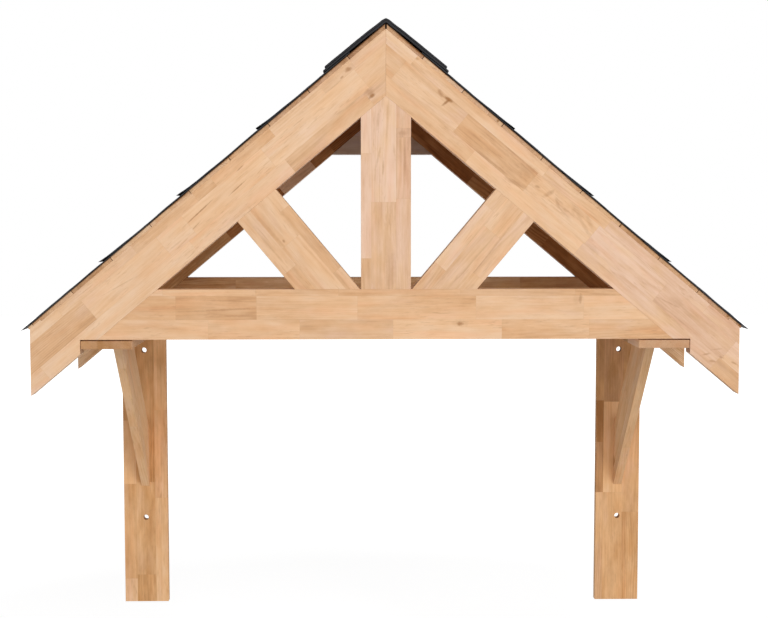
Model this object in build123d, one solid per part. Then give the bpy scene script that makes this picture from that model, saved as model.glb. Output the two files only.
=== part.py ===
from build123d import *
import os
from math import ceil, cos, radians, sin, tan

os.makedirs("parts", exist_ok=True)

# Porch canopy: two timber roof trusses on a pair of gallows brackets, with a
# laminated board deck, slates and ridge caps. Millimetres.
#
# The wall plane is Y = 0 and the canopy stands out from it towards -Y. X runs
# along the wall from the canopy's centre line and Z is up. The origin is the
# middle of the rear tie beam's back face, which lies flat on the wall.

# ---- driving sizes ----------------------------------------------------------
TAIL_SPAN = 1500.0       # over the plumb cuts of the rafter tails
PROJECTION = 550.0       # wall plane to the front face of the front truss
PITCH = radians(40.0)    # roof pitch
TRUSS_THICK = 40.0       # both trusses, front to back

RAFTER = 110.0           # face width of a rafter at its tail
TIE = 106.0              # depth of a tie beam
WEB = 105.0              # face width of the king post and the struts
STRUT_FIT = 2.5          # strut's inner foot to the king post
TAIL_RISE = 24.5         # top of the rafter's toe above the bearing level
REBATE = 4.0             # deck rebate in the rafter's top edge
TOE_LENGTH = 25.0        # level length of the toe left proud of the rebate
GUSSET_DEPTH = 103.0     # rear apex gusset, from its lower edge to its point

TIMBER = 108.0           # width of the brackets' arms, posts and braces
BRACKET_INSET = 105.5    # rafter's plumb cut to the bracket's outer edge
BOARD = 20.0             # thickness of the bracket boards
POST_DROP = 688.5        # length of a wall post, below the arm
ARM_SETBACK = 2.0        # arm's front end behind the truss's front face
HEEL_GAP = 0.5           # birdsmouth heel to the arm's edge
BRACE_START = 135.0      # front face of the front truss to the brace's toe

BOLT_HOLE = 13.0         # clearance hole for an M12 wall bolt
BOLT_TOP = 74.5          # upper hole's centre below the bearing level
BOLT_SPACING = 420.0     # between the two holes of a post

DECK = 8.8               # laminated deck board
DECK_FIT = 0.5           # deck's step to the rafter's toe
DECK_LAP = 3.0           # deck's end past the rafter's plumb cut, level
DECK_SPLIT = 3.5         # open joint between the two decks along the ridge
SLATE_TAIL = 3.6         # slate thickness at its lower end
SLATE_HEAD = 2.4         # slate thickness at its upper end
SLATE_LENGTH = 290.0
SLATE_TIP = 1.6          # thickness left at the bevelled lower edge
SLATE_BEVEL = 37.0       # length of that bevel, up the slope
SLATE_GAUGE = 216.5      # between the lower ends of two courses, on the slope
CAP_COVER = 50.0         # least cover of the ridge caps over the top slates
EAVES_REACH = 18.0       # slates' lowest edge past the rafters' plumb cuts, level
VERGE_REACH = 5.0        # slates in front of the front truss
TOP_SLATE_HEAD = 90.0    # head of the top course, from the ridge on the slope
SLATE_GAP = 0.3          # resting gap between roof coverings

CAP = 4.5                # thickness of a ridge cap
CAP_WING = 158.0         # width of each wing, on the slope
CAP_SHORT = 8.0          # how much narrower the upper caps' wings are
CAP_LAP = 45.0           # a cap's cover over its neighbour, each side of the joint
CAP_BREAK = 12.0         # gap between a lower cap and the doubling at the end
CAP_END_RADIUS = 3.5     # rounding of a wing's outer arris
CAP_BEND = 6.5           # inside radius of the lowest cap along the ridge

# ---- derived levels ---------------------------------------------------------
BEARING = -TIE / 2                   # level of the arms' tops and the ties' undersides
TIE_TOP = BEARING + TIE
HALF_SPAN = TAIL_SPAN / 2
BRACKET_OUT = HALF_SPAN - BRACKET_INSET
BRACKET_IN = BRACKET_OUT - TIMBER
BRACKET_MID = BRACKET_OUT - TIMBER / 2
SEAT_TOP = BEARING + TAIL_RISE + HALF_SPAN * tan(PITCH) - REBATE / cos(PITCH)
RAFTER_LOW = REBATE - RAFTER         # rafter's lower edge, square to the slope


# ---- roof geometry ----------------------------------------------------------
# A roof point is (s, p): s down the slope from the ridge, p square out from the
# surface that the deck lies on. Points here are for the right-hand side.
def on_roof(s, p):
    x = s * cos(PITCH) + p * sin(PITCH)
    z = SEAT_TOP - s * sin(PITCH) + p * cos(PITCH)
    return (x, z)


def at_x(x, p):
    """The roof point at height p that is x from the centre line."""
    return on_roof((x - p * sin(PITCH)) / cos(PITCH), p)


def x_at_level(z, p):
    """How far from the centre line the line at height p comes down to z."""
    return (SEAT_TOP + p / cos(PITCH) - z) / tan(PITCH)


def slope_at(x, p):
    return (x - p * sin(PITCH)) / cos(PITCH)


# ---- helpers ----------------------------------------------------------------
def board(outline, y_front, y_back):
    """A board with this outline in X and Z, between two distances from the wall."""
    face = Plane.XZ.offset(-y_back) * make_face(Polyline(*outline, close=True))
    return extrude(face, y_back - y_front)


def block(x0, x1, y0, y1, z0, z1):
    middle = Pos((x0 + x1) / 2, (y0 + y1) / 2, (z0 + z1) / 2)
    return middle * Box(x1 - x0, y1 - y0, z1 - z0)


def save(name, shape):
    solids = shape.solids()
    export_step(solids[0] if len(solids) == 1 else Compound(solids), f"parts/{name}.step")


def save_pair(name, right):
    save(f"{name}_right", right)
    save(f"{name}_left", mirror(right, Plane.YZ))


# ---- trusses ----------------------------------------------------------------
def rafter_outline():
    """Plumb joint at the ridge, deck rebate, toe, plumb-cut tail and birdsmouth."""
    heel = BRACKET_OUT + HEEL_GAP
    toe_start = slope_at(HALF_SPAN - TOE_LENGTH, 0)
    return [
        at_x(0, 0),
        on_roof(toe_start, 0),
        on_roof(toe_start, REBATE),
        at_x(HALF_SPAN, REBATE),
        at_x(HALF_SPAN, RAFTER_LOW),
        at_x(heel, RAFTER_LOW),
        (heel, BEARING),
        (x_at_level(BEARING, RAFTER_LOW), BEARING),
        at_x(0, RAFTER_LOW),
    ]


def tie_outline():
    """Level tie beam, its ends cut to the rafters' lower edges."""
    low = x_at_level(BEARING, RAFTER_LOW)
    high = x_at_level(TIE_TOP, RAFTER_LOW)
    return [(-low, BEARING), (low, BEARING), (high, TIE_TOP), (-high, TIE_TOP)]


def king_post_outline():
    side = WEB / 2
    return [
        (-side, TIE_TOP),
        (side, TIE_TOP),
        at_x(side, RAFTER_LOW),
        at_x(0, RAFTER_LOW),
        (-side, at_x(side, RAFTER_LOW)[1]),
    ]


def strut_outline():
    """Square to the rafter, with its foot cut level on the tie beside the king post."""
    inner = WEB / 2 + STRUT_FIT
    outer = inner + WEB / cos(PITCH)
    fall = at_x(inner, RAFTER_LOW)[1] - TIE_TOP
    inner_s = slope_at(inner, RAFTER_LOW) + fall * sin(PITCH)
    return [
        (inner, TIE_TOP),
        (outer, TIE_TOP),
        on_roof(inner_s + WEB, RAFTER_LOW),
        on_roof(inner_s, RAFTER_LOW),
    ]


def gusset_outline():
    """Board that fills the point of the rear truss under the rafters."""
    point = at_x(0, RAFTER_LOW)
    level = point[1] - GUSSET_DEPTH
    reach = GUSSET_DEPTH / tan(PITCH)
    return [(-reach, level), (reach, level), point]


front = (-PROJECTION, -PROJECTION + TRUSS_THICK)
rear = (-TRUSS_THICK, 0)

save_pair("front_rafter", board(rafter_outline(), *front))
save_pair("rear_rafter", board(rafter_outline(), *rear))
save("front_tie_beam", board(tie_outline(), *front))
save("rear_tie_beam", board(tie_outline(), *rear))
save("king_post", board(king_post_outline(), *front))
save_pair("front_strut", board(strut_outline(), *front))
save("rear_apex_gusset", board(gusset_outline(), *rear))


# ---- gallows brackets -------------------------------------------------------
arm_front = -PROJECTION + ARM_SETBACK
arm_under = BEARING - BOARD
save_pair("bracket_arm", block(BRACKET_IN, BRACKET_OUT, arm_front, 0, arm_under, BEARING))

post = block(BRACKET_IN, BRACKET_OUT, -BOARD, 0, arm_under - POST_DROP, arm_under)
for hole in range(2):
    centre = BEARING - BOLT_TOP - hole * BOLT_SPACING
    drill = Pos(BRACKET_MID, -BOARD / 2, centre) * Rot(90, 0, 0)
    post -= drill * Cylinder(BOLT_HOLE / 2, BOARD * 2)
save_pair("wall_post", post)

# The brace stands on edge at 45 degrees, cut level under the arm and plumb on the post.
brace_toe = -PROJECTION + BRACE_START
brace_cut = TIMBER / sin(radians(45))
post_face = -BOARD
run = post_face - brace_toe
brace_side = [
    (brace_toe, arm_under),
    (brace_toe + brace_cut, arm_under),
    (post_face, arm_under - run + brace_cut),
    (post_face, arm_under - run),
]
brace_face = Plane.YZ.offset(BRACKET_MID - BOARD / 2) * make_face(Polyline(*brace_side, close=True))
save_pair("brace", extrude(brace_face, BOARD))


# ---- deck and slates --------------------------------------------------------
def deck_outline():
    """Laminated board, lapped over the rafters' toes at its lower end."""
    toe = slope_at(HALF_SPAN - TOE_LENGTH, 0) - DECK_FIT
    top = DECK_SPLIT / 2
    end = HALF_SPAN + DECK_LAP
    return [
        at_x(top, 0),
        on_roof(toe, 0),
        on_roof(toe, REBATE),
        at_x(end, REBATE),
        at_x(end, DECK),
        at_x(top, DECK),
    ]


save_pair("roof_deck", board(deck_outline(), -PROJECTION, 0))

# Slates lie in single lap: a slate's head rests on the deck and its lower part
# on the course below, which lifts it. The lowest course lies flat.
def slate_thickness(up):
    """Thickness at this distance up from the tail."""
    return SLATE_TAIL - (SLATE_TAIL - SLATE_HEAD) * up / SLATE_LENGTH


def lifted(lift, up):
    """Height of a slate's underside above the deck, this far up from its tail."""
    return lift * (1 - up / SLATE_LENGTH)


def slate_lift(course):
    """How far the tail of a course is lifted off the deck. It rests on the head of
    the course below or, at the start of its own bevel, further down the same slate."""
    over_head = (SLATE_HEAD + SLATE_GAP) / lifted(1, SLATE_LENGTH - SLATE_GAUGE)
    lift = 0
    for _ in range(course):
        below = SLATE_GAUGE + SLATE_BEVEL
        at_bevel = lifted(lift, below) + slate_thickness(below) + SLATE_GAP
        lift = max(over_head, at_bevel / lifted(1, SLATE_BEVEL))
    return lift


slate_front = -PROJECTION - VERGE_REACH
slate_base = DECK + SLATE_GAP
eaves_s = slope_at(HALF_SPAN + EAVES_REACH, slate_base + SLATE_TAIL)
courses = 1 + ceil((eaves_s - SLATE_LENGTH - CAP_WING + CAP_COVER) / SLATE_GAUGE)


def slate_outline(course):
    """One course from the eaves up; its lower edge is bevelled underneath."""
    tail = eaves_s - course * SLATE_GAUGE
    head = max(tail - SLATE_LENGTH, TOP_SLATE_HEAD)
    length = tail - head
    lift = slate_lift(course)
    head_low = slate_base + lifted(lift, length)
    tail_top = slate_base + lift + SLATE_TAIL
    return [
        on_roof(head, head_low),
        on_roof(tail - SLATE_BEVEL, slate_base + lifted(lift, SLATE_BEVEL)),
        on_roof(tail, tail_top - SLATE_TIP),
        on_roof(tail, tail_top),
        on_roof(head, head_low + slate_thickness(length)),
    ]


for course in range(courses):
    save_pair(f"slate_course_{course + 1}", board(slate_outline(course), slate_front, 0))


# ---- ridge ------------------------------------------------------------------
# A cap is a V a little flatter than the roof: it rests on the heads of the top
# course of slates and, at its wings' ends, further down the same slates.
top_tail = eaves_s - (courses - 1) * SLATE_GAUGE


def slates_top(s):
    """Height of the top course's upper face at this place on the slope."""
    up = top_tail - s
    return slate_base + lifted(slate_lift(courses - 1), up) + slate_thickness(up)


cap_fall = (slates_top(CAP_WING) - slates_top(TOP_SLATE_HEAD)) / (CAP_WING - TOP_SLATE_HEAD)
cap_base = slates_top(TOP_SLATE_HEAD) + SLATE_GAP - cap_fall * TOP_SLATE_HEAD


def cap_face(height, wing):
    """Ridge point and wing end of a cap's face at this height over its bed."""
    at_ridge = (cap_base + height) / (1 + cap_fall * tan(PITCH))
    at_wing = cap_base + height + cap_fall * wing
    return [at_x(0, at_ridge), on_roof(wing, at_wing)]


def cap_outline(layer, wing):
    """V section of one cap; layer 0 lies on the roof and layer 1 on layer 0."""
    top, top_end = cap_face((layer + 1) * CAP, wing)
    under, under_end = cap_face(layer * CAP, wing)
    right = [top, top_end, under_end]
    left = [(-x, z) for x, z in reversed(right[1:])]
    return right + [under] + left


def round_edge(shape, corner, radius):
    """Round the edge that runs along Y through this corner of the section."""
    x, z = corner
    at_corner = [
        edge for edge in shape.edges().filter_by(Axis.Y)
        if abs(edge.center().X - x) < 0.1 and abs(edge.center().Z - z) < 0.1
    ]
    return fillet(at_corner, radius)


def cap(layer, y_front, y_back):
    outline = cap_outline(layer, CAP_WING - layer * CAP_SHORT)
    top, right_end, _, under, _, left_end = outline
    shape = board(outline, y_front, y_back)
    shape = round_edge(shape, right_end, CAP_END_RADIUS)
    shape = round_edge(shape, left_end, CAP_END_RADIUS)
    shape = round_edge(shape, under, CAP_BEND + layer * CAP)
    return round_edge(shape, top, CAP_BEND + (layer + 1) * CAP)


joint = (PROJECTION + VERGE_REACH) / 3
first_joint = slate_front + joint
second_joint = slate_front + 2 * joint
save("ridge_cap_front", cap(1, slate_front, first_joint + CAP_LAP))
save("ridge_cap_middle", cap(0, first_joint - CAP_LAP, second_joint + CAP_LAP))
save("ridge_cap_rear", cap(1, second_joint - CAP_LAP, 0))
save("ridge_doubler_front", cap(0, slate_front, first_joint - CAP_LAP - CAP_BREAK))
save("ridge_doubler_rear", cap(0, second_joint + CAP_LAP + CAP_BREAK, 0))
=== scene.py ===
import math
import random
from collections import namedtuple

import bmesh
import bpy
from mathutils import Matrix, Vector, noise


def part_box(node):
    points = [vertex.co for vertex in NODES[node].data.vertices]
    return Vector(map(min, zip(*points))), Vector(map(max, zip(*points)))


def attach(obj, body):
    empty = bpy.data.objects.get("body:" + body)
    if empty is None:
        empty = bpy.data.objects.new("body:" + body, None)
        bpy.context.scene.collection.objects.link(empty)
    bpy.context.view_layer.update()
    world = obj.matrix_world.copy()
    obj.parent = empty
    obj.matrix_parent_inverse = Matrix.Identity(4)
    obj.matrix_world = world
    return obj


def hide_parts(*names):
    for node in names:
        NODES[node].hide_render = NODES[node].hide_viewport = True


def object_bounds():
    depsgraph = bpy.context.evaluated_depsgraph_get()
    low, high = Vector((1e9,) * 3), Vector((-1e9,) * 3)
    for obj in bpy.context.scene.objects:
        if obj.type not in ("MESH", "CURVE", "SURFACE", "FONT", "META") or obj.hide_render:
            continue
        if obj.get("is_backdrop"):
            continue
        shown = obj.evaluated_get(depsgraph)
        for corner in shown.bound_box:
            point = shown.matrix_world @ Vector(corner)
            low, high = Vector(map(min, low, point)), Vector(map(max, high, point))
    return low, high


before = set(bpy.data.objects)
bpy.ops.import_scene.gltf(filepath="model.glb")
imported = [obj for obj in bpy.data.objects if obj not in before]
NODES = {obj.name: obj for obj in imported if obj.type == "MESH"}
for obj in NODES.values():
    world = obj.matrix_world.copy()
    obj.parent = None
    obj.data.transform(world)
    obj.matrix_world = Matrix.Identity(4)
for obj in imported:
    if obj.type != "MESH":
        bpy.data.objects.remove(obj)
CAD_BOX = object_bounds()
SCENE = bpy.context.scene
SCENE.view_settings.view_transform = "Standard"
SIDES = ("left", "right")
PITCH = math.radians(40)
SIN, COS = math.sin(PITCH), math.cos(PITCH)
X, Y, Z = Vector((1, 0, 0)), Vector((0, 1, 0)), Vector((0, 0, 1))


# ---- camera -----------------------------------------------------------------
CAMERA_PLACE = (-0.0580, -3.5678, 0.2240)
CAMERA_TURN = (90 - 4.44, 0.046, -0.821)     # degrees about X, Y and Z
CAMERA_LENS = 67.23
CAMERA_SHIFT = (0.0066, 0.0133)


def make_camera():
    data = bpy.data.cameras.new("camera")
    data.sensor_width = 36
    data.lens = CAMERA_LENS
    data.shift_x, data.shift_y = CAMERA_SHIFT
    cam = bpy.data.objects.new("camera", data)
    SCENE.collection.objects.link(cam)
    cam.location = CAMERA_PLACE
    cam.rotation_euler = [math.radians(angle) for angle in CAMERA_TURN]
    SCENE.camera = cam


make_camera()


# ---- shader helper ----------------------------------------------------------
class Graph:
    """Short names for the few node types that the materials and the world use."""

    def __init__(self, owner, output="ShaderNodeOutputMaterial"):
        self.owner = owner
        owner.use_nodes = True
        self.tree = owner.node_tree
        self.tree.nodes.clear()
        self.output = self.add(output)

    def add(self, kind, **settings):
        node = self.tree.nodes.new(kind)
        for key, value in settings.items():
            setattr(node, key, value)
        return node

    def feed(self, socket, value):
        """Links a node's output to this socket, or sets a plain value on it."""
        if isinstance(value, bpy.types.NodeSocket):
            self.tree.links.new(value, socket)
        else:
            socket.default_value = value

    def math(self, operation, *values):
        node = self.add("ShaderNodeMath", operation=operation)
        for socket, value in zip(node.inputs, values):
            self.feed(socket, value)
        return node.outputs[0]

    def vector(self, operation, *values):
        node = self.add("ShaderNodeVectorMath", operation=operation)
        for socket, value in zip(node.inputs, values):
            self.feed(socket, value)
        return node.outputs[1] if operation in ("LENGTH", "DOT_PRODUCT") else node.outputs[0]

    def combine(self, x, y, z):
        node = self.add("ShaderNodeCombineXYZ")
        for socket, value in zip(node.inputs, (x, y, z)):
            self.feed(socket, value)
        return node.outputs[0]

    def separate(self, vector):
        node = self.add("ShaderNodeSeparateXYZ")
        self.feed(node.inputs[0], vector)
        return node.outputs

    def noise(self, vector, scale, detail=2.0, rough=0.5):
        """Noise on stretched coordinates: scale is one number an axis, per metre."""
        node = self.add("ShaderNodeTexNoise")
        self.feed(node.inputs["Vector"], self.vector("MULTIPLY", vector, scale))
        node.inputs["Scale"].default_value = 1.0
        node.inputs["Detail"].default_value = detail
        node.inputs["Roughness"].default_value = rough
        return node.outputs[0]

    def remap(self, value, low, high, to_low=0.0, to_high=1.0):
        node = self.add("ShaderNodeMapRange", clamp=True)
        for socket, item in zip(node.inputs, (value, low, high, to_low, to_high)):
            self.feed(socket, item)
        return node.outputs[0]

    def ramp(self, value, stops):
        node = self.add("ShaderNodeValToRGB")
        self.feed(node.inputs[0], value)
        ramp = node.color_ramp
        while len(ramp.elements) < len(stops):
            ramp.elements.new(0.5)
        for element, (place, colour) in zip(ramp.elements, stops):
            element.position = place
            element.color = (*colour, 1)
        return node.outputs[0]

    def mix(self, factor, first, second, blend="MIX"):
        node = self.add("ShaderNodeMix", data_type="RGBA", blend_type=blend)
        self.feed(node.inputs[0], factor)
        self.feed(node.inputs[6], first if not isinstance(first, tuple) else (*first, 1))
        self.feed(node.inputs[7], second if not isinstance(second, tuple) else (*second, 1))
        return node.outputs[2]

    def tint(self, factor, colour, by):
        """The colour multiplied by another, as far as the factor says."""
        return self.mix(factor, colour, self.mix(1.0, colour, by, "MULTIPLY"))

    def attribute(self, name):
        return self.add("ShaderNodeAttribute", attribute_name=name).outputs["Vector"]

    def object_place(self):
        return self.add("ShaderNodeTexCoord").outputs["Object"]

    def surface(self, colour, rough, height, distance, strength, specular):
        """The finished surface: a principled shader, with this height as its bump."""
        bump = self.add("ShaderNodeBump")
        bump.inputs["Strength"].default_value = strength
        bump.inputs["Distance"].default_value = distance
        self.feed(bump.inputs["Height"], height)
        shader = self.add("ShaderNodeBsdfPrincipled")
        self.feed(shader.inputs["Base Color"], colour)
        self.feed(shader.inputs["Roughness"], rough)
        self.feed(shader.inputs["Normal"], bump.outputs[0])
        shader.inputs["Specular IOR Level"].default_value = specular
        self.feed(self.output.inputs[0], shader.outputs[0])
        return self.owner


# ---- materials --------------------------------------------------------------
# What the oak is mixed with in its pores, flecks, streaks, glue lines and knots, and in the patches of
# painted shade on the decks' front edges.
PORE = (0.34, 0.17, 0.08)
FLECK = (0.36, 0.18, 0.085)
STREAK = (0.42, 0.21, 0.10)
GLUE = (0.36, 0.20, 0.10)
MARK_AND_SHADE = (0.31, 0.135, 0.045)
# What it is multiplied by where it is pale, orange or warm, sawn across, or in the painted shade under the
# slates.
PALE = (1.0, 1.025, 1.17)
ORANGE = (1.0, 0.945, 0.87)
WARM = (1.02, 0.90, 0.84)
SAWN = (0.66, 0.60, 0.54)
PAINTED_SLATE_SHADE = (0.34, 0.30, 0.27)
RINGS = 230.0            # growth rings a metre
GLUE_LINE = (0.0001, 0.0005)     # how far from a stave's edge a glue line is full, and gone
# Slow changes of tone along a stave: their scale, detail and roughness, and how far they go.
CLOUDS = (
    ((4.0, 20.0, 20.0), 2.0, 0.5, 0.14),
    ((9.0, 60.0, 60.0), 2.0, 0.5, 0.08),
    ((22.0, 75.0, 75.0), 3.0, 0.6, 0.12),
)


def oak(name, stops, marks=(), sawn_ends=SAWN, specular=0.12, shaded=None):
    """Laminated oak as a solid texture: rings about each stave's own pith, fibres and pores."""
    g = Graph(bpy.data.materials.new(name))
    place = g.attribute("grain")
    tone, hue, seed = g.separate(g.attribute("stave"))
    start, end, cut = g.separate(g.attribute("ends"))
    low, high, _ = g.separate(g.attribute("sides"))
    end_grain = g.remap(cut, 0.45, 0.75)
    here = g.vector("ADD", place, g.combine(*[g.math("MULTIPLY", seed, far) for far in (31.0, 17.0, 23.0)]))
    u, v, d = g.separate(place)
    late = growth_rings(g, here, u, v, d, seed)

    fibre = g.noise(here, (7.0, 330.0, 330.0), 3.0, 0.62)
    pores = g.remap(g.noise(here, (34.0, 1300.0, 1300.0), 1.0), 0.60, 0.74)
    pores = g.math("MULTIPLY", pores, g.remap(late, 0.0, 1.0, 0.35, 1.0))
    fleck = g.remap(g.noise(here, (14.0, 240.0, 240.0), 1.0), 0.70, 0.80)
    streak = g.remap(g.noise(here, (40.0, 310.0, 310.0), 2.0, 0.6), 0.56, 0.70)
    streak = g.math("MULTIPLY", streak, g.remap(g.noise(here, (9.0, 24.0, 24.0), 1.0), 0.44, 0.62))
    line = glue_line(g, u, v, start, end, low, high)

    for scale, detail, rough, reach in CLOUDS:
        tone = g.math("ADD", tone, g.remap(g.noise(here, scale, detail, rough), 0.28, 0.72, -reach, reach))
    tone = g.math("ADD", tone, g.remap(fibre, 0.25, 0.75, -0.11, 0.11))
    tone = g.math("ADD", tone, g.math("MULTIPLY", late, 0.17))
    hue = g.math("ADD", hue, g.remap(g.noise(here, (12.0, 34.0, 34.0), 2.0), 0.3, 0.7, -0.7, 0.7))
    warmth = g.remap(g.noise(here, (6.0, 45.0, 45.0), 1.0), 0.52, 0.74, 0.0, 0.55)

    colour = g.ramp(tone, stops)
    colour = g.tint(g.math("MAXIMUM", hue, 0.0), colour, PALE)
    colour = g.tint(g.math("MAXIMUM", g.math("MULTIPLY", hue, -1.0), 0.0), colour, ORANGE)
    colour = g.tint(warmth, colour, WARM)
    for amount, share, dark in ((pores, 0.17, PORE), (fleck, 0.22, FLECK),
                                (streak, 0.34, STREAK), (line, 0.16, GLUE)):
        colour = g.mix(g.math("MULTIPLY", amount, share), colour, dark)
    # Knots and streaks, and on the decks the patches of painted shade.
    for dark, spot in mark_fields(g, marks):
        colour = g.mix(g.math("MULTIPLY", spot, dark), colour, MARK_AND_SHADE)
    colour = g.tint(end_grain, colour, sawn_ends)      # sawn ends drink the oil and go dark
    # Painted shade: the deck's front edge darkens towards its top, under the slates.
    if shaded:
        under = g.remap(g.math("ABSOLUTE", d), *shaded)
        colour = g.tint(g.math("MULTIPLY", under, end_grain), colour, PAINTED_SLATE_SHADE)

    height = g.math("ADD", g.math("MULTIPLY", fibre, 0.5), g.math("MULTIPLY", pores, -0.6))
    height = g.math("ADD", height, g.math("MULTIPLY", line, -0.5))
    rough = g.remap(fibre, 0.3, 0.7, 0.52, 0.68)
    return g.surface(colour, rough, height, distance=0.00018, strength=0.6, specular=specular)


def growth_rings(g, here, u, v, d, seed):
    """Late wood about the stave's pith, strong in some staves and hardly there in others."""
    pith_v, pith_d, lean = g.separate(g.attribute("pith"))
    across = g.math("SUBTRACT", g.math("ADD", v, g.math("MULTIPLY", u, lean)), pith_v)
    radius = g.vector("LENGTH", g.combine(across, g.math("SUBTRACT", d, pith_d), 0.0))
    wander = g.noise(here, (3.0, 13.0, 13.0))
    count = g.math("ADD", g.math("MULTIPLY", radius, RINGS), g.math("MULTIPLY", wander, 6.0))
    wave = g.math("SINE", g.math("MULTIPLY", count, math.tau))
    late = g.math("POWER", g.remap(wave, -1.0, 1.0), 1.8)
    strength = g.remap(g.math("FRACT", g.math("MULTIPLY", seed, 7.31)), 0.0, 1.0, 0.35, 1.3)
    patch = g.remap(g.noise(here, (4.0, 26.0, 26.0)), 0.36, 0.66, 0.15, 1.0)
    return g.math("MULTIPLY", late, g.math("MULTIPLY", strength, patch))


def glue_line(g, u, v, start, end, low, high):
    """1 where a stave meets the next, along it or beside it."""
    lengthwise = g.math("MINIMUM", g.math("SUBTRACT", u, start), g.math("SUBTRACT", end, u))
    sideways = g.math("MINIMUM", g.math("SUBTRACT", v, low), g.math("SUBTRACT", high, v))
    return g.remap(g.math("MINIMUM", lengthwise, sideways), *GLUE_LINE, 1.0, 0.0)


def mark_fields(g, marks):
    """A dark spot for every listed knot, streak and patch of painted shade, with how dark it is."""
    if not marks:
        return
    where = g.object_place()
    ragged = g.noise(where, (170.0, 170.0, 170.0), 3.0)
    for place, along, over, length, width, dark in marks:
        offset = g.vector("SUBTRACT", where, tuple(place))
        a = g.math("DIVIDE", g.vector("DOT_PRODUCT", offset, tuple(along)), length)
        b = g.math("DIVIDE", g.vector("DOT_PRODUCT", offset, tuple(over)), width)
        far = g.vector("LENGTH", g.combine(a, b, 0.0))
        far = g.math("ADD", far, g.math("MULTIPLY", g.math("SUBTRACT", ragged, 0.5), 1.4))
        yield dark, g.remap(far, 0.5, 1.5, 1.0, 0.0)


def slate(name, base, worn):
    """Riven slate: mottled charcoal with fine cleavage ripples."""
    g = Graph(bpy.data.materials.new(name))
    seed = g.separate(g.attribute("stave"))[0]
    here = g.vector("ADD", g.object_place(), g.combine(seed, g.math("MULTIPLY", seed, 5.0), 0.0))
    broad = g.noise(here, (14.0, 14.0, 14.0), 4.0, 0.6)
    grit = g.noise(here, (600.0, 600.0, 600.0), 3.0, 0.6)
    ripple = g.noise(here, (60.0, 90.0, 60.0), 5.0, 0.62)
    tone = g.math("ADD", g.remap(broad, 0.3, 0.7, 0.0, 0.5), g.math("MULTIPLY", seed, 0.35))
    tone = g.math("ADD", tone, g.remap(ripple, 0.35, 0.75, -0.12, 0.25))
    colour = g.ramp(tone, [(0.0, base), (1.0, worn)])
    colour = g.mix(g.remap(grit, 0.55, 0.8, 0.0, 0.25), colour, worn)
    height = g.math("ADD", ripple, g.math("MULTIPLY", grit, 0.12))
    rough = g.remap(ripple, 0.3, 0.7, 0.48, 0.72)
    return g.surface(colour, rough, height, distance=0.0012, strength=0.4, specular=0.25)


def moulded(name, base, worn):
    """Moulded ridge cap: fine stipple, faint flow marks, scuffed where it lies high."""
    g = Graph(bpy.data.materials.new(name))
    where = g.object_place()
    stipple = g.noise(where, (900.0, 900.0, 900.0))
    flow = g.noise(where, (25.0, 8.0, 25.0), 4.0, 0.6)
    colour = g.ramp(flow, [(0.3, base), (0.75, worn)])
    height = g.math("ADD", g.math("MULTIPLY", stipple, 0.4), flow)
    rough = g.remap(flow, 0.3, 0.7, 0.42, 0.6)
    return g.surface(colour, rough, height, distance=0.0006, strength=0.7, specular=0.22)


# ---- mesh helpers -----------------------------------------------------------
def box(node):
    low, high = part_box(node)
    return Vector(low), Vector(high)


def side_sign(side):
    return 1 if side == "right" else -1


def slope(side):
    """The ways down a side's slope and square out of it."""
    k = side_sign(side)
    return Vector((k * COS, 0, -SIN)), Vector((k * SIN, 0, COS))


def cad_mesh(node):
    """A welded working copy of a CAD node, with its flat faces merged."""
    bm = bmesh.new()
    bm.from_mesh(NODES[node].data)
    bmesh.ops.remove_doubles(bm, verts=bm.verts, dist=1e-5)
    bmesh.ops.dissolve_limit(bm, angle_limit=0.01, verts=bm.verts, edges=bm.edges)
    bmesh.ops.recalc_face_normals(bm, faces=bm.faces)
    return bm


def ease(bm, width, sharp=0.5):
    """Rounds the arrises that turn by more than this angle."""
    edges = [e for e in bm.edges if len(e.link_faces) == 2 and e.calc_face_angle(0) > sharp]
    bmesh.ops.bevel(bm, geom=edges, offset=width, segments=2, profile=0.5, affect="EDGES", clamp_overlap=True)


def slice_at(bm, point, normal, faces=None):
    """Divides the faces along a plane and keeps both halves."""
    faces = list(bm.faces) if faces is None else faces
    edges = {e for f in faces for e in f.edges}
    verts = {v for f in faces for v in f.verts}
    geometry = faces + list(edges) + list(verts)
    bmesh.ops.bisect_plane(bm, geom=geometry, plane_co=point, plane_no=normal, dist=1e-7)


def keep_between(bm, low, high, axis):
    """Cuts away what lies outside two planes across this axis, and closes the cuts."""
    for place, normal in ((low, -axis), (high, axis)):
        if place is None:
            continue
        cut = bmesh.ops.bisect_plane(bm, geom=list(bm.faces) + list(bm.edges) + list(bm.verts),
                                     plane_co=axis * place, plane_no=normal, clear_outer=True, dist=1e-7)
        rim = [e for e in cut["geom_cut"] if isinstance(e, bmesh.types.BMEdge)]
        if rim:
            bmesh.ops.holes_fill(bm, edges=rim)


def join(parts):
    """One mesh of several, which it frees."""
    whole = bmesh.new()
    step = bpy.data.meshes.new("step")
    for part in parts:
        part.to_mesh(step)
        part.free()
        whole.from_mesh(step)
    bpy.data.meshes.remove(step)
    bmesh.ops.recalc_face_normals(whole, faces=whole.faces)
    return whole


def move_all(bm, shift):
    """Moves every vertex by what shift(vertex) says, worked out before any has moved."""
    bm.normal_update()
    moves = [(vert, shift(vert)) for vert in bm.verts]
    for vert, move in moves:
        vert.co += move


SHARP = math.radians(32)      # a smooth piece still shows an edge that turns by more


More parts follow.
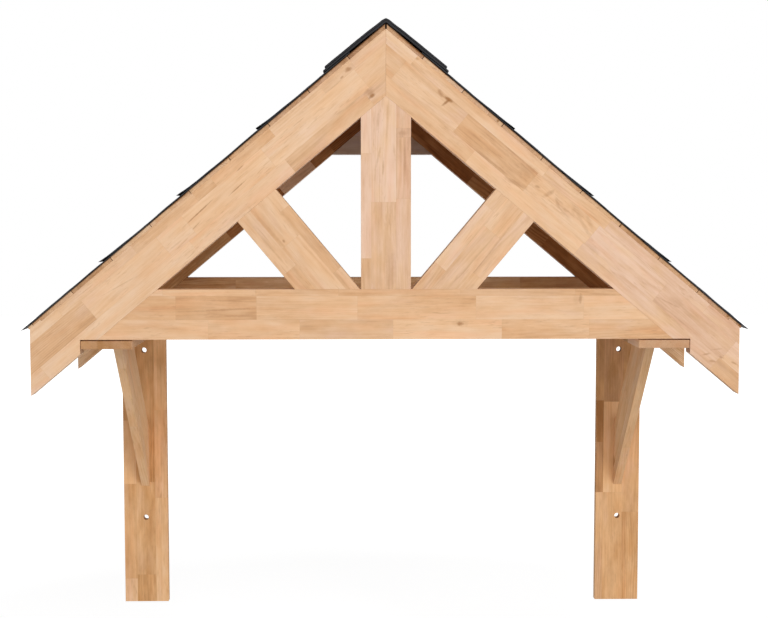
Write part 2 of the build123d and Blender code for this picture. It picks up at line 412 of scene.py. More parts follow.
def to_object(bm, name, material, node, smooth=False):
    """The finished piece, which takes the place of a CAD node."""
    mesh = bpy.data.meshes.new(name)
    bm.to_mesh(mesh)
    bm.free()
    for polygon in mesh.polygons:
        polygon.use_smooth = smooth
    if smooth:
        mesh.set_sharp_from_angle(angle=SHARP)
    piece = bpy.data.objects.new(name, mesh)
    SCENE.collection.objects.link(piece)
    mesh.materials.append(material)
    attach(piece, "root")
    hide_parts(node)
    return piece


# ---- laminated timber -------------------------------------------------------
LEAST = 0.01       # no stave is shorter, and no strip of a board narrower
BEYOND = 1.0       # past the edge of any timber
# What is left to chance in a stave: its tone and hue where none is given, and where its pith lies
# beside its middle and away from the timber's, and how far it leans along the stave.
CHANCE_TONE = (0.22, 0.66)
CHANCE_HUE = (-0.4, 0.7)
PITH_ASIDE = (-0.03, 0.03)
PITH_AWAY = (0.02, 0.075)
PITH_LEAN = (-0.05, 0.05)
Stave = namedtuple("Stave", "start end low high look pith")


class Member:
    """A laminated timber: its origin, the way its grain runs and the way its rows lie."""

    def __init__(self, node, origin, grain, across, rows, joints=None, tones=None, marks=(),
                 length=(0.17, 0.26)):
        self.node = node
        self.origin = Vector(origin)
        self.grain = Vector(grain).normalized()
        self.across = Vector(across).normalized()
        self.depth = self.grain.cross(self.across)
        self.rows = rows
        self.joints = joints or {}
        self.tones = tones or {}
        self.marks = marks
        self.length = length

    def local(self, point):
        p = point - self.origin
        return Vector((p.dot(self.grain), p.dot(self.across), p.dot(self.depth)))

    def point(self, u, v):
        return self.origin + self.grain * u + self.across * v

    def placed_marks(self):
        """Its knots and streaks: where, which way they run, half length and width, darkness."""
        for u, v, length, width, turn, dark in self.marks:
            along = self.grain * math.cos(turn) + self.across * math.sin(turn)
            yield self.point(u, v), along, self.depth.cross(along), length, width, dark

    def row_joints(self, row, low, high, rng):
        """Where a row's staves meet: at the joints given for it, or after random lengths."""
        joints = list(self.joints.get(row, ()))
        if not joints:
            place = low - rng.uniform(0, self.length[0])
            while place < high:
                place += rng.uniform(*self.length)
                joints.append(place)
        return [u for u in sorted(joints) if low + LEAST < u < high - LEAST]


def write_staves(bm, member, staves):
    """Writes what the oak shader reads: each face's stave, and every vertex in the timber's own axes."""
    faces = bm.faces.layers.float_vector
    stave_layer, pith_layer = faces.new("stave"), faces.new("pith")
    grain_layer = bm.verts.layers.float_vector.new("grain")
    ends_layer, sides_layer = faces.new("ends"), faces.new("sides")
    for vert in bm.verts:
        vert[grain_layer] = member.local(vert.co)
    bm.normal_update()
    for face in bm.faces:
        middle = member.local(face.calc_center_median())
        stave = next(s for s in staves if s.start <= middle.x < s.end and s.low <= middle.y < s.high)
        face[stave_layer] = stave.look
        face[pith_layer] = stave.pith
        face[ends_layer] = (stave.start, stave.end, abs(face.normal.dot(member.grain)))
        face[sides_layer] = (stave.low, stave.high, 0)


def laminate(member, material, arris=0.0012, bm=None):
    """Cuts a CAD timber's faces into its glued staves, each with its own tone and pith."""
    rng = random.Random(member.node)
    bm = bm or cad_mesh(member.node)
    ease(bm, arris)
    spots = [member.local(v.co) for v in bm.verts]
    u_low, u_high = min(p.x for p in spots), max(p.x for p in spots)
    v_low, v_high = min(p.y for p in spots), max(p.y for p in spots)
    d_mid = (min(p.z for p in spots) + max(p.z for p in spots)) / 2
    bounds = [v_low - BEYOND] + list(member.rows) + [v_high + BEYOND]
    for v in member.rows:
        slice_at(bm, member.point(0, v), member.across)

    staves = []
    for row, (low, high) in enumerate(zip(bounds, bounds[1:])):
        joints = member.row_joints(row, u_low, u_high, rng)
        for u in joints:
            faces = [f for f in bm.faces if low < member.local(f.calc_center_median()).y < high]
            slice_at(bm, member.point(u, 0), member.grain, faces)
        middle = (max(low, v_low) + min(high, v_high)) / 2
        given = member.tones.get(row, ())
        ends = [u_low - BEYOND] + joints + [u_high + BEYOND]
        for i, (start, end) in enumerate(zip(ends, ends[1:])):
            tone, hue = given[i] if i < len(given) else (rng.uniform(*CHANCE_TONE), rng.uniform(*CHANCE_HUE))
            pith = (middle + rng.uniform(*PITH_ASIDE), d_mid + rng.choice((-1, 1)) * rng.uniform(*PITH_AWAY),
                    rng.uniform(*PITH_LEAN))
            staves.append(Stave(start, end, low, high, (tone, hue, rng.random()), pith))
    write_staves(bm, member, staves)
    return to_object(bm, member.node + "_timber", material, member.node)


seat_apex = box("front_rafter_right")[1].z
tie_low, tie_high = box("front_tie_beam")
web = box("king_post")[1].x
strut_foot = box("front_strut_right")[0].x
RAFTER_LOW = -0.106      # a rafter's lower edge, square down from the deck's seat


def rafter(node, side, **staves):
    """Grain down the slope from the ridge, rows counted up from the lower edge."""
    down, out = slope(side)
    return Member(node, Vector((0, 0, seat_apex)) + out * RAFTER_LOW, down, out, **staves)


def strut(node, side, **staves):
    """Grain up from the foot, rows counted outwards from the edge beside the king post."""
    down, out = slope(side)
    return Member(node, (side_sign(side) * strut_foot, 0, tie_high.z), out, down, **staves)


# A stave is (tone, hue): tone 0 light to 1 dark, hue -1 orange to 1 pale. A knot or streak is its
# place along and across the timber, its half length and half width, its turn and its darkness.
TIMBERS = [
    rafter("front_rafter_left", "left", rows=[0.034, 0.084],
           joints={0: [0.120, 0.336, 0.60, 1.013], 1: [0.105, 0.36, 0.578, 0.648, 0.855],
                   2: [0.10, 0.182, 0.32, 0.48, 0.53, 0.70, 0.905]},
           tones={0: [(0.50, -0.1), (0.50, 0.0), (0.22, -0.3), (0.22, -0.3), (0.26, 0.2)],
                  1: [(0.36, -0.3), (0.22, -0.3), (0.18, -0.9), (0.18, -0.3), (0.22, -0.4), (0.54, -0.2)],
                  2: [(0.42, 0.3), (0.52, 0.0), (0.32, -0.3), (0.44, -1.0), (0.50, -0.6), (0.50, -0.2),
                      (0.38, -0.2), (0.24, -0.1)]},
           marks=[(0.112, 0.018, 0.007, 0.003, 0.1, 0.80), (0.110, 0.028, 0.009, 0.006, 0.2, 0.42),
                  (0.114, 0.092, 0.006, 0.004, 0.2, 0.60), (0.135, 0.088, 0.004, 0.002, 0.0, 0.50),
                  (0.545, 0.066, 0.034, 0.0012, -0.05, 0.65), (0.448, 0.0535, 0.019, 0.0011, -0.04, 0.65),
                  (0.420, 0.081, 0.010, 0.0011, -0.06, 0.50), (0.568, 0.0485, 0.010, 0.0011, -0.1, 0.45),
                  (0.425, 0.067, 0.016, 0.0008, 0.0, 0.20), (0.770, 0.056, 0.036, 0.0011, 0.19, 0.22)]),
    rafter("front_rafter_right", "right", rows=[0.033, 0.082],
           joints={0: [0.305, 0.605, 0.985], 1: [0.075, 0.245, 0.437, 0.608, 0.797, 0.990],
                   2: [0.087, 0.448, 0.62, 0.895]},
           tones={0: [(0.44, -0.4), (0.24, -0.6), (0.44, 0.6), (0.68, -0.3)],
                  1: [(0.60, -0.4), (0.42, -0.1), (0.68, -0.4), (0.38, -0.3), (0.38, 0.9), (0.56, 0.9),
                      (0.36, 0.5)],
                  2: [(0.20, 0.0), (0.40, -0.3), (0.40, -0.3), (0.46, 1.0), (0.56, 1.0)]},
           marks=[(0.173, 0.077, 0.007, 0.0036, -0.3, 0.55), (0.193, 0.078, 0.009, 0.003, 0.1, 0.85),
                  (0.194, 0.070, 0.010, 0.0025, 1.35, 0.75), (0.090, 0.100, 0.003, 0.002, 0.0, 0.3),
                  (0.420, 0.070, 0.020, 0.012, 0.1, 0.22), (0.415, 0.036, 0.022, 0.004, 0.25, 0.35),
                  (0.455, 0.060, 0.005, 0.002, 0.3, 0.40), (0.482, 0.064, 0.010, 0.004, 1.2, 0.34),
                  (0.509, 0.060, 0.010, 0.003, -0.6, 0.26), (0.825, 0.052, 0.024, 0.0012, 0.25, 0.22),
                  (0.580, 0.061, 0.034, 0.0036, -0.36, 0.20), (0.530, 0.056, 0.026, 0.0040, -0.30, 0.13),
                  (0.587, 0.073, 0.018, 0.0038, -0.52, 0.15), (0.545, 0.070, 0.012, 0.0040, -0.9, 0.12),
                  (0.628, 0.036, 0.016, 0.0060, 0.0, 0.16), (0.838, 0.062, 0.014, 0.0080, 0.3, 0.16),
                  (0.958, 0.020, 0.008, 0.0018, 0.9, 0.40), (0.969, 0.043, 0.010, 0.0014, 0.8, 0.28),
                  (0.979, 0.018, 0.006, 0.0022, 0.5, 0.40), (0.987, 0.036, 0.006, 0.0016, 0.2, 0.40),
                  (1.016, 0.044, 0.006, 0.0016, 0.2, 0.45)]),
    Member("front_tie_beam", (0, 0, tie_low.z), X, Z, rows=[0.042, 0.092],
           joints={0: [-0.375, -0.182, 0.015, 0.245, 0.43], 1: [-0.443, -0.273, -0.06, 0.19, 0.418],
                   2: [-0.47, -0.275, -0.10, 0.157, 0.40]},
           tones={0: [(0.28, -0.7), (0.32, -0.8), (0.46, 0.0), (0.18, -0.8), (0.48, -0.7), (0.46, -0.4)],
                  1: [(0.50, -1.0), (0.68, -0.9), (0.36, -0.6), (0.44, -0.8), (0.32, -0.4), (0.26, -0.5)],
                  2: [(0.26, -0.2), (0.32, -0.5), (0.42, -0.7), (0.42, -0.5), (0.52, -0.5), (0.70, -0.5)]},
           marks=[(0.157, 0.033, 0.0060, 0.0032, 0.0, 0.60), (0.157, 0.034, 0.014, 0.006, 0.0, 0.22),
                  (0.411, 0.086, 0.009, 0.003, 1.5, 0.40), (0.404, 0.086, 0.010, 0.007, 1.2, 0.15),
                  (-0.325, 0.064, 0.045, 0.0018, 0.05, 0.30), (-0.340, 0.082, 0.050, 0.0015, -0.03, 0.24),
                  (-0.310, 0.050, 0.035, 0.0020, 0.0, 0.30), (-0.400, 0.060, 0.040, 0.0015, 0.03, 0.22)]),
    Member("king_post", (-web, 0, tie_high.z), Z, X, rows=[0.022, 0.074],
           joints={0: [0.065, 0.285], 1: [0.183], 2: [0.190, 0.318, 0.337]},
           tones={0: [(0.52, 0.0), (0.28, 0.9), (0.10, 0.9)], 1: [(0.53, 0.4), (0.26, 0.6)],
                  2: [(0.44, 0.6), (0.56, 1.0), (0.74, 1.0), (0.58, 0.7)]},
           marks=[(0.275, 0.036, 0.020, 0.0022, 0.25, 0.20), (0.256, 0.047, 0.014, 0.0018, 0.05, 0.30),
                  (0.353, 0.036, 0.018, 0.0026, 0.1, 0.18), (0.372, 0.058, 0.014, 0.0050, 0.0, 0.13),
                  (0.290, 0.070, 0.014, 0.0020, -0.1, 0.16), (0.335, 0.055, 0.020, 0.0020, 0.05, 0.15),
                  (0.300, 0.082, 0.022, 0.0022, 0.0, 0.18), (0.268, 0.092, 0.022, 0.0022, 0.0, 0.18),
                  (0.390, 0.046, 0.014, 0.0020, -0.05, 0.16), (0.240, 0.030, 0.016, 0.0018, 0.1, 0.12),
                  (0.045, 0.062, 0.030, 0.010, 0.0, 0.16), (0.327, 0.088, 0.004, 0.010, 0.0, 0.22)]),
    strut("front_strut_left", "left", rows=[0.022, 0.070],
          joints={0: [0.062, 0.231], 1: [0.170], 2: [0.126]},
          tones={0: [(0.42, 0.0), (0.62, -0.6), (0.28, -0.5)], 1: [(0.26, -0.4), (0.38, -0.4)],
                 2: [(0.54, -0.6), (0.42, -0.1)]},
          marks=[(0.180, 0.057, 0.003, 0.002, 0.0, 0.5), (0.225, 0.066, 0.045, 0.0035, 0.02, 0.2),
                 (0.200, 0.087, 0.060, 0.0022, 0.0, 0.2)]),
    strut("front_strut_right", "right", rows=[0.030, 0.076],
          joints={0: [0.075, 0.235], 1: [0.20], 2: [0.11]},
          tones={0: [(0.54, -0.1), (0.32, 0.2), (0.38, -0.2)], 1: [(0.40, -0.1), (0.38, -0.3)],
                 2: [(0.48, -0.6), (0.40, 0.1)]},
          marks=[(0.185, 0.075, 0.050, 0.0018, -0.03, 0.24), (0.130, 0.060, 0.060, 0.0020, 0.02, 0.16)]),
]
# The rear rafters' staves go dark towards the ridge and light at their tails: painted shade under the roof,
# and painted light on the tails.
REAR = [
    rafter("rear_rafter_left", "left", rows=[0.030, 0.078],
           joints={0: [0.24, 0.30, 0.40, 0.57, 0.675, 0.86], 1: [0.30, 0.52, 0.74, 0.86]},
           tones={0: [(0.69, 0.2), (0.66, 0.0), (0.0, 0.8), (0.62, -1.0), (0.34, 0.1), (0.24, -0.9),
                      (0.04, 0.0)],
                  1: [(0.80, 0.0), (0.60, 0.0), (0.50, 0.0), (0.44, 0.0), (0.04, 0.0)]}),
    rafter("rear_rafter_right", "right", rows=[0.040, 0.088],
           joints={0: [0.36, 0.60, 0.86], 1: [0.30, 0.55, 0.86]},
           tones={0: [(0.74, 0.0), (0.62, 0.3), (0.66, -1.0), (0.10, 0.0)],
                  1: [(0.76, 0.0), (0.66, 0.0), (0.60, 0.0), (0.16, 0.0)]}),
    Member("rear_tie_beam", (0, 0, tie_low.z), X, Z, rows=[0.030, 0.078],
           joints={2: [-0.36, -0.12, 0.10, 0.34]},
           tones={2: [(0.40, 0.6), (0.34, 0.9), (0.40, 0.6), (0.34, 0.8), (0.36, 0.8)]}),
]
GUSSET = Member("rear_apex_gusset", (0, 0, box("rear_apex_gusset")[0].z), X, Z, rows=[0.045],
                joints={0: [0.0], 1: [0.0]}, tones={row: [(0.15, 0.2), (0.55, -0.1)] for row in (0, 1)})


def bracket(side, post, brace, arm):
    """A bracket's post, arm and brace: the post's rows count outwards from its inner edge."""
    k = side_sign(side)
    post_low, post_high = box("wall_post_" + side)
    arm_low, _ = box("bracket_arm_" + side)
    brace_low, brace_high = box("brace_" + side)
    inner = post_low.x if k > 0 else post_high.x
    return [
        Member("wall_post_" + side, (inner, 0, post_high.z), -Z, k * X, **post),
        Member("bracket_arm_" + side, (inner, arm_low.y, post_high.z), Y, k * X, **arm),
        Member("brace_" + side, (0, brace_low.y, brace_high.z), Y - Z, Y + Z, **brace),
    ]


# Each bracket's post, then its brace and its arm.
BRACKETS = bracket("left", dict(
    rows=[0.030, 0.077],
    joints={0: [0.205, 0.425], 1: [0.385, 0.620], 2: [0.125, 0.230, 0.390, 0.630]},
    tones={0: [(0.34, -0.4), (0.38, 0.3), (0.28, -0.2)], 1: [(0.60, -0.6), (0.54, -0.2), (0.62, -0.4)],
           2: [(0.50, 0.0), (0.58, 0.1), (0.32, 0.0), (0.52, -0.2), (0.24, 0.3)]}),
    dict(rows=[0.036, 0.080], tones={0: [(0.10, -0.1)] * 3, 1: [(0.0, -0.9)] * 3, 2: [(0.0, -0.9)] * 3}),
    dict(rows=[0.025, 0.072], tones={0: [(0.32, 0.5)], 1: [(0.42, 0.4)], 2: [(0.38, 0.3)]}))
BRACKETS += bracket("right", dict(
    rows=[0.018, 0.066],
    joints={0: [0.183, 0.288, 0.415], 1: [0.186, 0.415], 2: [0.20, 0.465]},
    tones={0: [(0.70, 0.2), (0.84, -0.6), (0.74, 0.3), (0.42, 0.3)],
           # The light middle stave of row 1 is painted light, where the lamps reach the post past the brace's
           # shadow.
           1: [(0.78, 0.8), (0.24, -0.4), (0.46, -0.2)],
           2: [(0.60, 0.0), (0.50, 0.3), (0.56, -0.4)]}),
    dict(rows=[0.030, 0.084], tones={0: [(0.14, -0.2)] * 3, 1: [(0.14, -0.8)] * 3, 2: [(0.22, -0.8)] * 3}),
    dict(rows=[0.025, 0.072], tones={0: [(0.06, 1.0)], 1: [(0.10, 1.0)], 2: [(0.18, 1.0)]}))


# The deck is boards laid from front to back, each glued up from two or three staves.
BOARD_WIDTH = 0.1085
BOARD_START = 0.098
BOARD_JOINTS = 9
BOARD_GAP = 0.0012
BOARD_CUTS = (0.2, 0.35, 0.5, 0.65, 0.8)      # where a board's own glue lines may lie, as shares of it
BOARD_SPREAD = (0.09, 0.2)      # how far a strip's tone and hue may lie from its board's
# The tone and hue of each board, down from the ridge. The left side's first three boards are darker, as
# painted shade under the caps and the top slates.
BOARD_LOOKS = {
    "left": [(0.88, 0.1), (0.64, 0.6), (0.58, 0.2), (0.40, 0.0), (0.26, 0.0), (0.34, 0.1), (0.24, 0.3),
             (0.58, -0.2), (0.42, 0.0), (0.20, 0.3)],
    "right": [(0.50, 0.2), (0.24, 0.5), (0.36, 0.1), (0.46, 0.0), (0.46, 0.0), (0.36, 0.0), (0.52, -0.8),
              (0.44, -0.2), (0.50, 0.1), (0.44, 0.2)],
}


def deck(side):
    """The joints between a deck's boards, and the deck as a laminated timber."""
    down, _ = slope(side)
    rng = random.Random("deck " + side)
    joints = [BOARD_START + BOARD_WIDTH * i for i in range(BOARD_JOINTS)]
    rows = []
    for joint in [BOARD_START - BOARD_WIDTH] + joints:
        cuts = sorted(rng.sample(BOARD_CUTS, rng.choice((1, 2, 2))))
        rows += [joint + BOARD_WIDTH * cut for cut in cuts] + [joint]
    rows = sorted(row for row in rows if row > LEAST)
    looks = {}
    for i, row in enumerate(rows):
        board = BOARD_LOOKS[side][sum(joint < row - 0.001 for joint in joints)]
        looks[i] = [tuple(value + rng.uniform(-far, far) for value, far in zip(board, BOARD_SPREAD))]
    front = box("roof_deck_" + side)[0].y
    return joints, Member("roof_deck_" + side, (0, front, seat_apex), Y, down,
                          rows=rows, tones=looks, length=(0.25, 0.6))


def verge_mark(side, along, up, length, width, dark):
    """A dark mark on a deck's front edge, as the oak shader takes it."""
    down, out = slope(side)
    return Vector((0, 0, seat_apex)) + down * along + out * up, down, out, length, width, dark


# ---- oak --------------------------------------------------------------------
TRUSS_TONES = [
    (0.0, (0.806, 0.565, 0.38)),
    (0.35, (0.741, 0.486, 0.301)),
    (0.65, (0.648, 0.394, 0.222)),
    (1.0, (0.463, 0.255, 0.13)),
]
# The same oak as the front truss, in a darker ramp: painted shade under the roof.
REAR_SHADE_TONES = [
    (0.0, (0.86, 0.58, 0.35)),
    (0.25, (0.63, 0.37, 0.18)),
    (0.5, (0.50, 0.25, 0.10)),
    (0.75, (0.34, 0.14, 0.045)),
    (1.0, (0.20, 0.07, 0.02)),
]
GUSSET_TONES = [
    (0.0, (0.63, 0.53, 0.46)),
    (0.6, (0.51, 0.40, 0.33)),
    (1.0, (0.36, 0.26, 0.20)),
]
BRACKET_TONES = [
    (0.0, (0.868, 0.57, 0.333)),
    (0.35, (0.759, 0.451, 0.232)),
    (0.65, (0.608, 0.333, 0.151)),
    (1.0, (0.412, 0.204, 0.081)),
]
DECK_TONES = [
    (0.0, (0.769, 0.529, 0.317)),
    (0.4, (0.615, 0.375, 0.212)),
    (0.7, (0.481, 0.274, 0.144)),
    (1.0, (0.317, 0.163, 0.077)),
]
# Marks on the decks' front edges: the side, how far down the slope and above the rafters' seat,
# half length, half width and darkness.
# Those 6 mm or more above the seat are painted shade under the caps and slates; the lower ones are dark spots
# and open joints in the boards.
VERGE_MARKS = [
    ("right", 0.070, 0.0075, 0.030, 0.0028, 0.9), ("right", 0.040, 0.0060, 0.020, 0.0020, 0.4),
    ("right", 0.115, 0.0085, 0.060, 0.0014, 0.8), ("left", 0.070, 0.0080, 0.075, 0.0018, 0.8),
    ("left", 0.190, 0.0080, 0.035, 0.0024, 0.8), ("left", 0.110, 0.0040, 0.008, 0.0030, 0.5),
    ("left", 0.430, 0.0080, 0.025, 0.0020, 0.8), ("left", 0.560, 0.0078, 0.025, 0.0020, 0.8),
    ("left", 0.800, 0.0020, 0.020, 0.0022, 0.5), ("right", 0.300, 0.0085, 0.030, 0.0014, 0.6),
    ("right", 0.642, 0.0034, 0.0016, 0.0030, 0.9), ("right", 0.686, 0.0036, 0.0260, 0.0034, 0.45),
    ("right", 0.302, 0.0050, 0.0022, 0.0032, 0.9), ("left", 0.538, 0.0050, 0.0180, 0.0024, 0.45),
    ("right", 0.941, 0.0053, 0.0026, 0.0026, 1.0), ("right", 0.973, 0.0045, 0.0040, 0.0060, 1.0),
]
DECK_SHADE = (0.0065, 0.0078)     # height above the seat where the slates' shade begins, and is full

truss_oak = oak("truss_oak", TRUSS_TONES, [mark for member in TIMBERS for mark in member.placed_marks()])
# The rear truss's oak, darkened as painted shade under the roof.
rear_oak = oak("rear_oak", REAR_SHADE_TONES)
gusset_oak = oak("gusset_oak", GUSSET_TONES)
bracket_oak = oak("bracket_oak", BRACKET_TONES, specular=0.03)
deck_oak = oak("deck_oak", DECK_TONES, [verge_mark(*mark) for mark in VERGE_MARKS],
               sawn_ends=(1.0, 1.0, 1.0), shaded=DECK_SHADE)
slate_stone = slate("slate_stone", (0.008, 0.009, 0.011), (0.040, 0.042, 0.048))
cap_plastic = moulded("cap_plastic", (0.006, 0.006, 0.008), (0.016, 0.016, 0.019))

NOTCH_HIGH = 0.003
NOTCH_DEEP = 0.011
TRUSS_ARRIS = 0.0005
BRACKET_ARRIS = 0.0009
DECK_ARRIS = 0.0005


def notched_arm(node):
    """The arm with the small rebate in its top front edge that opens a gap under the truss."""
    low, high = box(node)
    side = [(low.y, low.z), (high.y, low.z), (high.y, high.z), (low.y + NOTCH_DEEP, high.z),
            (low.y + NOTCH_DEEP, high.z - NOTCH_HIGH), (low.y, high.z - NOTCH_HIGH)]
    bm = bmesh.new()
    rings = [[bm.verts.new((x, y, z)) for y, z in side] for x in (low.x, high.x)]
    bm.faces.new(rings[0])
    bm.faces.new(reversed(rings[1]))
    for i in range(len(side)):
        j = (i + 1) % len(side)
        bm.faces.new((rings[0][j], rings[0][i], rings[1][i], rings[1][j]))
    bmesh.ops.recalc_face_normals(bm, faces=bm.faces)
    return bm


def boarded_deck(side):
    """Cuts a deck into its boards, with an open joint between them."""
    joints, member = deck(side)
    ridge = member.origin.dot(member.across)
    parts = []
    for low, high in zip([None] + joints, joints + [None]):
        bm = cad_mesh(member.node)
        start = low and ridge + low + BOARD_GAP / 2
        end = high and ridge + high - BOARD_GAP / 2
        keep_between(bm, start, end, member.across)
        if bm.faces:
            parts.append(bm)
        else:
            bm.free()
    laminate(member, deck_oak, DECK_ARRIS, join(parts))


for member in TIMBERS:
    laminate(member, truss_oak, TRUSS_ARRIS)
for member in REAR:
    laminate(member, rear_oak)
laminate(GUSSET, gusset_oak)
for member in BRACKETS:
    arm = notched_arm(member.node) if "arm" in member.node else None
    laminate(member, bracket_oak, BRACKET_ARRIS, arm)
for side in SIDES:
    boarded_deck(side)


# ---- slates -----------------------------------------------------------------
COURSES = (1, 2, 3, 4)
SLATE_WIDTH = 0.250
SLATE_JOINT = 0.0022
SLATE_LEAST = 0.03       # a narrower piece of a slate is left out
LIP_REACH = 0.006        # a joint's lip, to either side of it
LIP_DROP = 0.0017
SLATE_STEP = (0.011, 0.012)      # how finely a slate is divided, along its slope and across it
AT_EDGE = 0.0005         # a vertex nearer than this to a slate's edge moves with it
# Noise a metre and its depth, for a slate's face, its tail and its two sides.
FACE_ROUGH = (22, 0.0011)
TAIL_ROUGH = (55, 0.0030)
SIDE_ROUGH = (45, 0.0016)
# The left side's tails stand up a little, and the right's lie low, over this much of a slate.
TAIL_KICK = {"left": 0.0011, "right": -0.0006}
KICK_REACH = 0.025
# How far a slate hangs down, by the way up from its tail: its face, then its underside. The lowest
# course lies flat and only thins at its head; the others drape over the head of the course below.
FLAT = (
    [(-1, 0), (0.215, 0), (0.235, 0.0007), (0.3, 0.0009)],
    [(-1, 0), (1, 0)],
)
DRAPED = (
    [(-1, 0), (0.008, 0), (0.035, 0.0013), (0.075, 0.0018), (0.108, 0.0020), (0.140, 0.0016), (0.175, 0.0007),
     (0.213, 0), (0.235, 0.0007), (0.3, 0.0009)],
    [(-1, 0), (0.012, 0), (0.035, 0.0007), (0.073, 0.0009), (0.085, 0.0015), (0.108, 0.0018), (0.140, 0.0014),
     (0.175, 0.0005), (0.210, 0), (1, 0)],
)


def wrinkle(point, seed, size, amount):
    """Riven surface: a few octaves of noise, always cutting in."""
    q = Vector((point.x, point.y, point.z)) * size + Vector((seed * 13.1, seed * 7.7, seed * 3.3))
    return (noise.fractal(q, 0.9, 2.1, 3) * 0.5 - 0.5) * amount


def bend(place, curve):
    """Reads a curve of (place, value) points, straight between them."""
    for (a, low), (b, high) in zip(curve, curve[1:]):
        if place <= b:
            return low + (high - low) * (place - a) / (b - a)
    return curve[-1][1]


def divide(bm, start, length, step, axis):
    """Divides a mesh into equal strips of about this step along an axis."""
    count = int(length / step)
    for i in range(1, count):
        slice_at(bm, axis * (start + length * i / count), axis)


def slate_piece(node, front, back, side, seed, course):
    """One slate of a course: its faces draped and riven, its tail and sides uneven."""
    down, out = slope(side)
    bm = cad_mesh(node)
    keep_between(bm, front, back, Y)
    reach = [v.co.dot(down) for v in bm.verts]
    tail, head = max(reach), min(reach)
    divide(bm, head, tail - head, SLATE_STEP[0], down)
    divide(bm, front, back - front, SLATE_STEP[1], Y)
    face_drape, under_drape = FLAT if course == 1 else DRAPED
    kick = TAIL_KICK[side] if course > 1 else 0

    def shift(vert):
        place, facing = vert.co, vert.normal.dot(out)
        along = place.dot(down)
        up = tail - along
        lift = kick if facing > 0 else max(kick, 0)
        drop = bend(up, face_drape if facing > 0 else under_drape)
        move = out * (lift * max(0, 1 - up / KICK_REACH) - drop)
        if facing > 0.2:
            move += out * wrinkle(place, seed, *FACE_ROUGH)
        if up < AT_EDGE:
            move += down * wrinkle(Vector((0, place.y, 0)), seed + 5, *TAIL_ROUGH)
        if place.y - front < AT_EDGE:
            move += Y * -wrinkle(Vector((along, 0, 0)), seed + 9, *SIDE_ROUGH)
        if back - place.y < AT_EDGE:
            move += Y * wrinkle(Vector((along, 0, 0)), seed + 11, *SIDE_ROUGH)
        return move

    move_all(bm, shift)
    rng = random.Random(seed)
    look = (rng.random(), rng.random(), rng.random())
    layer = bm.faces.layers.float_vector.new("stave")
    for face in bm.faces:
        face[layer] = look
    return bm


def joint_lip(node, side, place):
    """The thin lip of one slate that runs on under its neighbour, so no joint is open to the boards."""
    _, out = slope(side)
    bm = cad_mesh(node)
    keep_between(bm, place - LIP_REACH, place + LIP_REACH, Y)
    bm.normal_update()
    for vert in {v for f in bm.faces if f.normal.dot(out) > 0.9 for v in f.verts}:
        vert.co -= out * LIP_DROP
    return bm


def slate_course(side, course):
    """A course cut into slates in half bond, each with its own wear."""
    node = f"slate_course_{course}_{side}"
    low, high = box(node)
    parts = []
    place = low.y - (SLATE_WIDTH / 2 if course % 2 else 0)
    seed = course * 10 + (50 if side == "left" else 0)
    while place < high.y:
        front, back = max(place, low.y), min(place + SLATE_WIDTH, high.y)
        front += SLATE_JOINT / 2 if front > low.y else 0
        back -= SLATE_JOINT / 2 if back < high.y else 0
        if back - front > SLATE_LEAST:
            parts.append(slate_piece(node, front, back, side, seed, course))
            if front > low.y:
                parts.append(joint_lip(node, side, front - SLATE_JOINT / 2))
        place += SLATE_WIDTH
        seed += 1
    to_object(join(parts), node + "_slates", slate_stone, node, smooth=True)


for side in SIDES:
    for course in COURSES:
        slate_course(side, course)


# ---- ridge caps -------------------------------------------------------------
CAPS = ("ridge_cap_front", "ridge_cap_middle", "ridge_cap_rear", "ridge_doubler_front", "ridge_doubler_rear")
CAP_ARRIS = 0.0006
CAP_STEP = (0.013, 0.012)       # how finely a cap is divided, down its wings and along the ridge
CAP_STRIPS = 13                 # down a wing
CAP_ROUGH = (30, 0.0006)
RIDGE_SAG = (0.036, 0.0018)     # the bend is drawn tight: how far out its shoulders sink, and how much


def ridge_cap(node):
    """A moulded cap: its faces are divided and drawn in a little, unevenly, and its arrises eased."""
    bm = cad_mesh(node)
    low, high = box(node)
    ease(bm, CAP_ARRIS, sharp=1.0)
    divide(bm, low.y, high.y - low.y, CAP_STEP[1], Y)
    for side in SIDES:
        down, _ = slope(side)
        start = high.z * down.z
        for i in range(1, CAP_STRIPS):
            wing = [f for f in bm.faces if side_sign(side) * f.calc_center_median().x > 0]
            slice_at(bm, down * (start + CAP_STEP[0] * i), down, wing)
    move_all(bm, lambda vert: vert.normal * wrinkle(vert.co, 3.0, *CAP_ROUGH))
    reach, sag = RIDGE_SAG
    for vert in bm.verts:
        off = min(abs(vert.co.x) / reach, 1.0)
        vert.co.z -= sag * math.sin(math.pi * off ** 0.65)
    to_object(bm, node + "_moulding", cap_plastic, node, smooth=True)


for node in CAPS:
    ridge_cap(node)


# ---- stage and light --------------------------------------------------------
WHITE = (1, 1, 1, 1)
FLOOR_REACH = 14.0
FLOOR_DROP = 0.35         # below the posts' feet
FLOOR_TONE = 0.60
# The floor's glow, which only the camera and mirror images see, at these distances from the object.
GLOW_NEAR, GLOW_FAR = (1.8, 0.62), (4.5, 1.0)
WORLD_LIGHT = 0.53
LIGHT_TARGET = (0, -0.3, 0)
# Lamps: place, size and power.
LAMPS = {
    "key": ((1.9, -7.1, 2.6), (3.8, 2.7), 270),
    "side": ((-5.2, -4.0, 0.5), (3.0, 3.0), 40),
    "fill": ((5.2, -4.0, -0.2), (3.0, 3.0), 46),
}


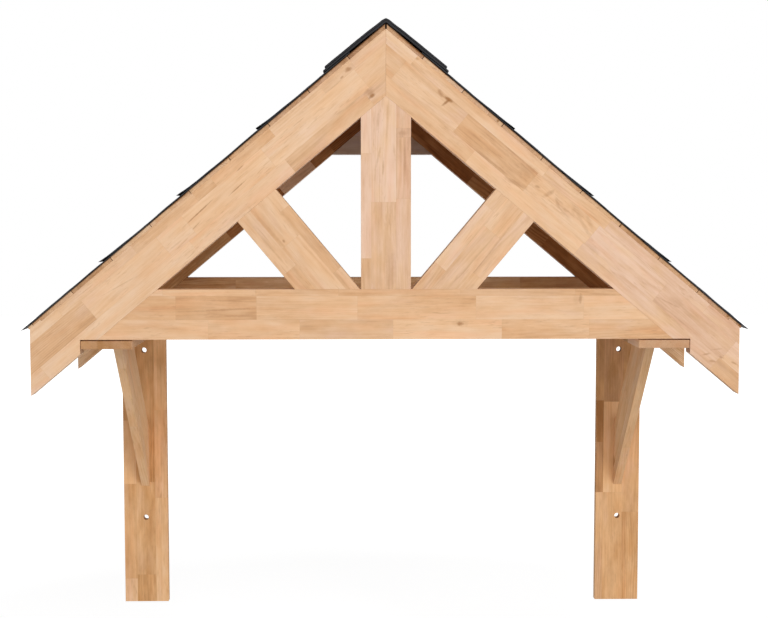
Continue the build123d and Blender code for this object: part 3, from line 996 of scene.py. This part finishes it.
def white_floor():
    """Matt white paper: lit and shaded near the object, plain white for the camera further off."""
    g = Graph(bpy.data.materials.new("floor_white"))
    matt = g.add("ShaderNodeBsdfDiffuse")
    matt.inputs[0].default_value = (FLOOR_TONE, FLOOR_TONE, FLOOR_TONE, 1)
    glow = g.add("ShaderNodeEmission")
    glow.inputs[0].default_value = WHITE
    path = g.add("ShaderNodeLightPath")
    seen = g.math("MAXIMUM", path.outputs["Is Camera Ray"], path.outputs["Is Glossy Ray"])
    seen = g.math("MAXIMUM", seen, path.outputs["Is Transmission Ray"])
    where = g.add("ShaderNodeNewGeometry").outputs["Position"]
    away = g.vector("LENGTH", g.vector("MULTIPLY", where, (1.0, 1.0, 0.0)))
    level = g.remap(away, GLOW_NEAR[0], GLOW_FAR[0], GLOW_NEAR[1], GLOW_FAR[1])
    g.feed(glow.inputs[1], g.math("MULTIPLY", seen, level))
    both = g.add("ShaderNodeAddShader")
    g.feed(both.inputs[0], matt.outputs[0])
    g.feed(both.inputs[1], glow.outputs[0])
    g.feed(g.output.inputs[0], both.outputs[0])
    return g.owner


def make_floor():
    mesh = bpy.data.meshes.new("floor")
    level = CAD_BOX[0].z - FLOOR_DROP
    corners = [(x * FLOOR_REACH, y * FLOOR_REACH, level) for x, y in ((-1, -1), (1, -1), (1, 1), (-1, 1))]
    mesh.from_pydata(corners, [], [(0, 1, 2, 3)])
    floor = bpy.data.objects.new("floor", mesh)
    SCENE.collection.objects.link(floor)
    mesh.materials.append(white_floor())
    floor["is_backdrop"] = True


def make_world():
    """Even white light from all round; the camera itself sees plain white."""
    g = Graph(bpy.data.worlds.new("world"), "ShaderNodeOutputWorld")
    path = g.add("ShaderNodeLightPath")
    mix = g.add("ShaderNodeMixShader")
    seen = g.math("MAXIMUM", path.outputs["Is Camera Ray"], path.outputs["Is Transmission Ray"])
    g.feed(mix.inputs[0], seen)
    for socket, level in ((mix.inputs[1], WORLD_LIGHT), (mix.inputs[2], 1.0)):
        light = g.add("ShaderNodeBackground")
        light.inputs[0].default_value = WHITE
        light.inputs[1].default_value = level
        g.feed(socket, light.outputs[0])
    g.feed(g.output.inputs[0], mix.outputs[0])
    SCENE.world = g.owner


def area_light(name, place, size, power):
    data = bpy.data.lights.new(name, "AREA")
    data.shape = "RECTANGLE"
    data.size, data.size_y = size
    data.energy = power
    lamp = bpy.data.objects.new(name, data)
    SCENE.collection.objects.link(lamp)
    lamp.location = place
    lamp.rotation_euler = (Vector(LIGHT_TARGET) - Vector(place)).to_track_quat("-Z", "Y").to_euler()


make_floor()
make_world()
for name, (place, size, power) in LAMPS.items():
    area_light(name, place, size, power)

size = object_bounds()
{"cad": [list(CAD_BOX[0]), list(CAD_BOX[1])], "visual": [list(size[0]), list(size[1])]}
